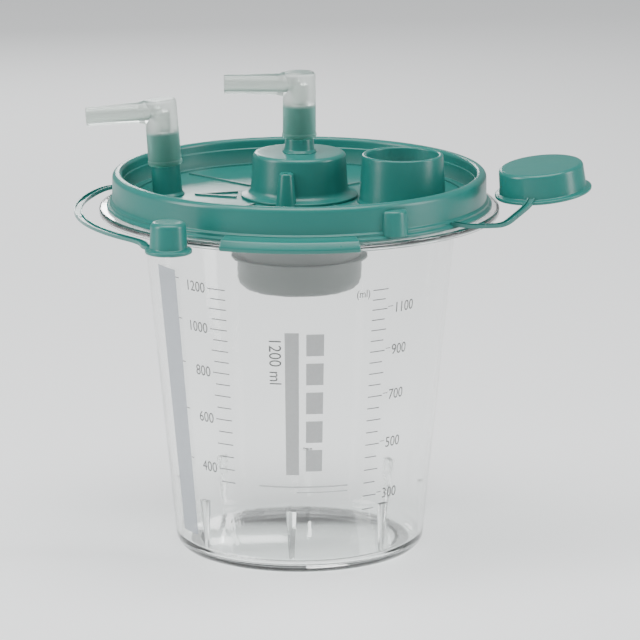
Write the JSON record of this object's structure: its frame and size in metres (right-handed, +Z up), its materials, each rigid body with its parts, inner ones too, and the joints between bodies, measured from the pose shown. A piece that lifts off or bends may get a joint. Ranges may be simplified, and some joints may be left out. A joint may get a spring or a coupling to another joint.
{
  "type": "suction canister",
  "caption": "Clear tapered collection cup with a push-on lid, swivelling hose elbows, capped pour spout and a float shut-off.",
  "frame": {"origin": "centre of the cup's base, on the cup's axis", "axes": "+Z up along the cup's axis, -X towards the patient port, -Y towards the lift tab"},
  "size_m": [0.2178, 0.1748, 0.2044],
  "materials": {
    "clear_plastic": "clear polished",
    "teal_plastic": "glossy moulded",
    "milky_plastic": "translucent",
    "grey_plastic": "satin",
    "filter_foam": "porous",
    "seal_rubber": "matt",
    "float_plastic": "satin"
  },
  "bodies": {
    "canister": {"canister_shell": "clear_plastic", "stacking_ribs": "clear_plastic"},
    "lid": {"lid_rim": "teal_plastic", "lid_floor": "teal_plastic", "floor_ribs": "teal_plastic", "lift_tab": "teal_plastic", "skirt_boss": "teal_plastic", "vacuum_turret": "teal_plastic", "vacuum_nipple": "teal_plastic", "turret_post": "teal_plastic", "aerosol_filter": "filter_foam", "patient_nipple": "teal_plastic", "pour_spout": "teal_plastic", "housing_sleeve": "grey_plastic", "housing_cup": "grey_plastic", "float_cage": "grey_plastic", "seat_plate": "grey_plastic", "valve_seat": "seal_rubber", "spout_strap_lug": "teal_plastic", "port_strap_lug": "teal_plastic"},
    "float": {"shutoff_float": "float_plastic"},
    "vacuum_elbow": {"vacuum_elbow": "milky_plastic"},
    "patient_elbow": {"patient_elbow": "milky_plastic"},
    "spout_strap_inner": {"spout_strap_inner": "teal_plastic"},
    "spout_strap_outer": {"spout_strap_outer": "teal_plastic"},
    "spout_cap": {"spout_cap": "teal_plastic"},
    "port_strap": {"port_strap": "teal_plastic"},
    "port_cap": {"port_cap": "teal_plastic"}
  },
  "joints": [
    {"name": "lid_lift", "type": "slide", "parent": "canister", "child": "lid", "axis": [0, 0, 1], "range_m": [0, 0.06]},
    {"name": "float_rise", "type": "slide", "parent": "lid", "child": "float", "axis": [0, 0, 1], "range_m": [0, 0.009]},
    {"name": "vacuum_elbow_swivel", "type": "hinge", "parent": "lid", "child": "vacuum_elbow", "pos_m": [0, 0, 0.1765], "axis": [0, 0, 1], "continuous": true},
    {"name": "patient_elbow_swivel", "type": "hinge", "parent": "lid", "child": "patient_elbow", "pos_m": [-0.0557, 0.003, 0.1515], "axis": [-0.0732, 0, 0.9973], "continuous": true},
    {"name": "spout_cap_swing", "type": "hinge", "parent": "lid", "child": "spout_strap_inner", "pos_m": [0.0659, -0.0503, 0.1496], "axis": [-0.3626, -0.9302, -0.0569], "range_deg": [0, 101.4]},
    {"name": "spout_strap_bend", "type": "hinge", "parent": "spout_strap_inner", "child": "spout_strap_outer", "pos_m": [0.0847, -0.047, 0.1486], "axis": [0.8616, 0.1507, 0.4847], "range_deg": [0, 61.1]},
    {"name": "spout_cap_turn", "type": "hinge", "parent": "spout_strap_outer", "child": "spout_cap", "pos_m": [0.0951, -0.0403, 0.1558], "axis": [0.6681, 0.7439, 0.016], "range_deg": [0, 68.7]},
    {"name": "port_strap_lift", "type": "hinge", "parent": "lid", "child": "port_strap", "pos_m": [-0.0775, 0.0295, 0.1496], "axis": [-0.9346, 0.3557, 0], "range_deg": [0, 42]},
    {"name": "port_cap_tilt", "type": "hinge", "parent": "port_strap", "child": "port_cap", "pos_m": [-0.0624, -0.0756, 0.1454], "axis": [-0.4659, -0.8848, 0], "range_deg": [0, 60]}
  ],
  "couplings": [
    {"joint": "spout_strap_bend", "follows": "spout_cap_swing", "ratio": 0.60181},
    {"joint": "spout_cap_turn", "follows": "spout_cap_swing", "ratio": 0.67668}
  ]
}
